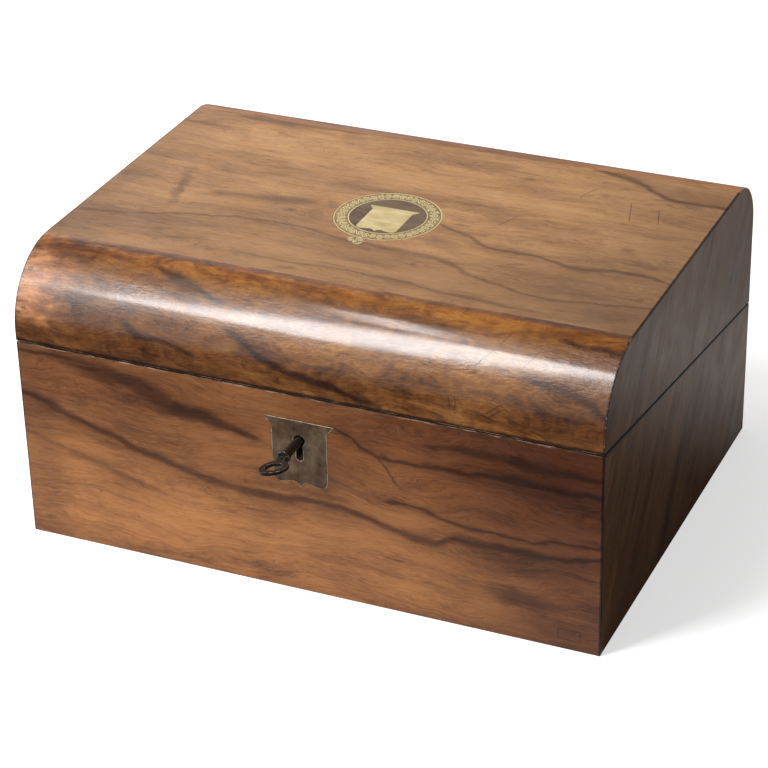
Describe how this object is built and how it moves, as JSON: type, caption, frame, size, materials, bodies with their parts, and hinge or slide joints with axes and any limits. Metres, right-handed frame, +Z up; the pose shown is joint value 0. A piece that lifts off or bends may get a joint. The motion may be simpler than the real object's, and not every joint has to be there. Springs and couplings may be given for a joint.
{
  "type": "writing slope",
  "caption": "Walnut writing slope box with a rounded lid front, a diagonal lid line, brass shield escutcheon, key and inlaid belt ring, opening on hinges into a leather slope.",
  "frame": {"origin": "middle of the underside of the base", "axes": "+X to the right seen from the lock side, -Y out of the lock side, +Z up"},
  "size_m": [0.305, 0.2669, 0.152],
  "materials": {
    "carcass_wood": "planed, thinly waxed",
    "walnut_veneer": "old french polish, worn semi-gloss",
    "roundel_wood": "old french polish",
    "pale_brass": "engraved, worn bright",
    "aged_brass": "tarnished with bright edges",
    "dark_steel": "blackened with worn edges",
    "clear_glass": "polished",
    "writing_leather": "gilt-tooled skiver"
  },
  "bodies": {
    "base": {"base_front_board": "carcass_wood", "base_back_board": "carcass_wood", "base_left_board": "carcass_wood", "base_right_board": "carcass_wood", "base_bottom_board": "carcass_wood", "tray_shelf": "carcass_wood", "tray_partition": "carcass_wood", "inkwell_dividers": "carcass_wood", "tray_bearers": "carcass_wood", "base_flap_board": "carcass_wood", "base_flap_ledges": "carcass_wood", "pen_tray": "carcass_wood", "base_front_veneer": "walnut_veneer", "base_back_veneer": "walnut_veneer", "base_left_veneer": "walnut_veneer", "base_right_veneer": "walnut_veneer", "escutcheon": "aged_brass", "lock_plate": "aged_brass", "lock_cap": "aged_brass", "hinge_base_leaf_left": "aged_brass", "hinge_base_leaf_right": "aged_brass", "hinge_pin_left": "aged_brass", "hinge_pin_right": "aged_brass", "hinge_base_screws": "aged_brass", "lock_screws": "aged_brass", "bolt_studs": "aged_brass", "inkwell_cap_left": "aged_brass", "inkwell_cap_right": "aged_brass", "drill_pin": "dark_steel", "inkwell_left": "clear_glass", "inkwell_right": "clear_glass", "base_flap_leather": "writing_leather"},
    "lid": {"lid_front_rail": "carcass_wood", "lid_back_rail": "carcass_wood", "lid_left_board": "carcass_wood", "lid_right_board": "carcass_wood", "lid_top_board": "carcass_wood", "lid_top_veneer": "walnut_veneer", "lid_front_veneer": "walnut_veneer", "lid_back_veneer": "walnut_veneer", "lid_left_veneer": "walnut_veneer", "lid_right_veneer": "walnut_veneer", "inlay_ring": "pale_brass", "inlay_roundel": "roundel_wood", "inlay_shield": "pale_brass", "lid_flap_ledges": "carcass_wood", "lid_flap_board": "carcass_wood", "lid_flap_leather": "writing_leather", "link_plate": "aged_brass", "link_plate_screws": "aged_brass", "hinge_lid_leaf_left": "aged_brass", "hinge_lid_leaf_right": "aged_brass", "hinge_lid_screws": "aged_brass", "catch_screws": "aged_brass"},
    "flap_catch_left": {"flap_catch_left": "aged_brass"},
    "flap_catch_right": {"flap_catch_right": "aged_brass"},
    "key": {"key": "dark_steel"},
    "lock_bolt": {"lock_bolt": "aged_brass"}
  },
  "joints": [
    {"name": "lid_hinge", "type": "hinge", "parent": "base", "child": "lid", "pos_m": [0, 0.116, 0.076], "axis": [-1, 0, 0], "range_deg": [0, 180]},
    {"name": "key_turn", "type": "hinge", "parent": "base", "child": "key", "pos_m": [0, -0.115, 0.0848], "axis": [0, 1, 0], "range_deg": [0, 180]},
    {"name": "catch_left_turn", "type": "hinge", "parent": "lid", "child": "flap_catch_left", "pos_m": [-0.085, -0.0995, 0.10679], "axis": [0, 0.1414, 0.9899], "range_deg": [0, 90]},
    {"name": "catch_right_turn", "type": "hinge", "parent": "lid", "child": "flap_catch_right", "pos_m": [0.085, -0.0995, 0.10679], "axis": [0, -0.1414, -0.9899], "range_deg": [0, 90]},
    {"name": "bolt_slide", "type": "slide", "parent": "base", "child": "lock_bolt", "axis": [1, 0, 0], "range_m": [0, 0.006]}
  ],
  "couplings": [
    {"joint": "bolt_slide", "follows": "key_turn", "m_per_rad": 0.0019099}
  ]
}
